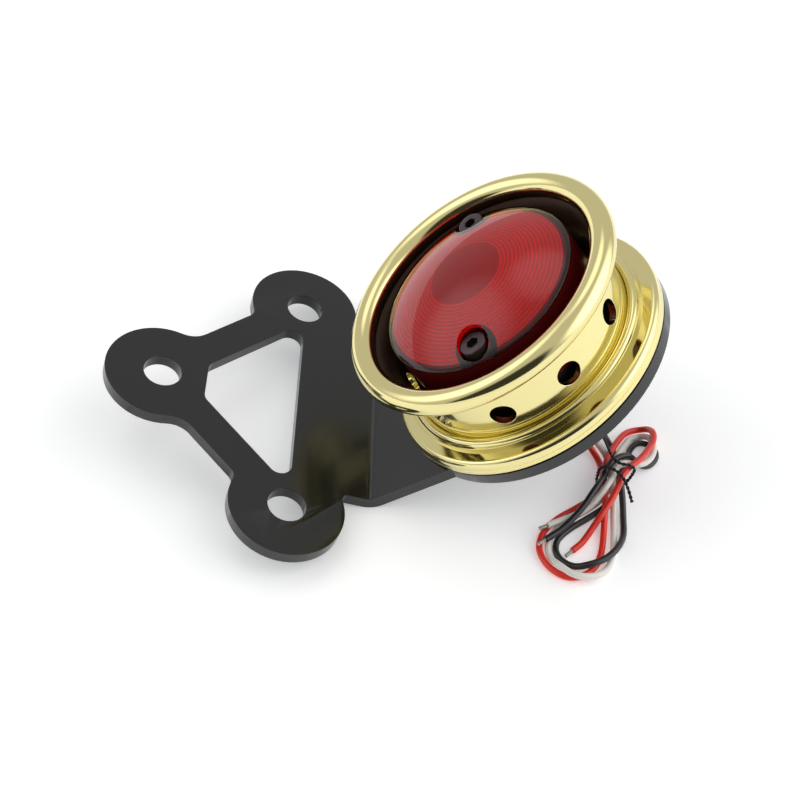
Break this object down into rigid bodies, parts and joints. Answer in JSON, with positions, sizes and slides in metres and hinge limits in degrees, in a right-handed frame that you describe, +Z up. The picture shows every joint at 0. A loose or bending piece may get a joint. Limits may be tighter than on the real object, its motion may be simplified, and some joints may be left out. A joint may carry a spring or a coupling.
{
  "type": "led tail light",
  "caption": "Round LED tail light with a rolled brass housing and a red domed lens, on a bent steel bracket with bolt ears, studs and tied leads.",
  "frame": {"origin": "on the surface that the light lies on, below the middle of the light's box without its leads", "axes": "+Z up from that surface, +X from the bracket's end ear towards the lamp, Y along the bracket's bend"},
  "size_m": [0.1532, 0.1065, 0.0759],
  "materials": {
    "black_steel": "semi-gloss black powder coat",
    "polished_brass": "mirror polished pale brass",
    "plain_brass": "bright machined",
    "red_lens": "clear red moulded plastic",
    "black_screws": "black oxide",
    "bright_steel": "zinc plated",
    "black_rubber": "matte",
    "black_plastic": "matte",
    "board_green": "satin solder mask",
    "led_resin": "clear resin",
    "resistor_tan": "satin lacquer",
    "red_insulation": "satin vinyl",
    "black_insulation": "satin vinyl",
    "white_insulation": "satin vinyl"
  },
  "bodies": {
    "base": {"bracket": "black_steel", "base_gasket": "black_rubber", "housing": "polished_brass", "lens_tray": "black_plastic", "lens_gasket": "black_rubber", "standoff_1": "plain_brass", "standoff_2": "plain_brass", "led_board": "board_green", "leds": "led_resin", "resistors": "resistor_tan", "diode": "black_plastic", "solder_joints": "bright_steel", "stud_near": "bright_steel", "stud_far": "bright_steel", "washer_near": "bright_steel", "washer_far": "bright_steel", "spring_washer_near": "bright_steel", "spring_washer_far": "bright_steel", "nut_near": "bright_steel", "nut_far": "bright_steel", "cable_grommet": "black_rubber", "inner_leads": "red_insulation", "lead_red": "red_insulation", "lead_black": "black_insulation", "lead_white": "white_insulation", "bare_end_red": "bright_steel", "bare_end_black": "bright_steel", "bare_end_white": "bright_steel", "wire_tie": "black_plastic"},
    "lens": {"lens": "red_lens"},
    "washer_1": {"screw_washer_1": "black_screws"},
    "screw_1": {"lens_screw_1": "black_screws"},
    "washer_2": {"screw_washer_2": "black_screws"},
    "screw_2": {"lens_screw_2": "black_screws"}
  },
  "joints": [
    {"name": "lens_lift", "type": "slide", "parent": "base", "child": "lens", "axis": [-0.539, 0, 0.8423], "range_m": [0, 0.03]},
    {"name": "lens_screw_1_lift", "type": "slide", "parent": "lens", "child": "washer_1", "axis": [-0.539, 0, 0.8423], "range_m": [0, 0.007]},
    {"name": "lens_screw_1_turn", "type": "hinge", "parent": "washer_1", "child": "screw_1", "pos_m": [0.02592, -0.0222, 0.0533], "axis": [-0.539, 0, 0.8423], "range_deg": [0, 3600]},
    {"name": "lens_screw_2_lift", "type": "slide", "parent": "lens", "child": "washer_2", "axis": [-0.539, 0, 0.8423], "range_m": [0, 0.007]},
    {"name": "lens_screw_2_turn", "type": "hinge", "parent": "washer_2", "child": "screw_2", "pos_m": [0.02592, 0.0222, 0.0533], "axis": [-0.539, 0, 0.8423], "range_deg": [0, 3600]}
  ],
  "couplings": [
    {"joint": "lens_screw_1_turn", "follows": "lens_screw_1_lift", "rad_per_m": 8975.9},
    {"joint": "lens_screw_2_turn", "follows": "lens_screw_2_lift", "rad_per_m": 8975.9}
  ]
}
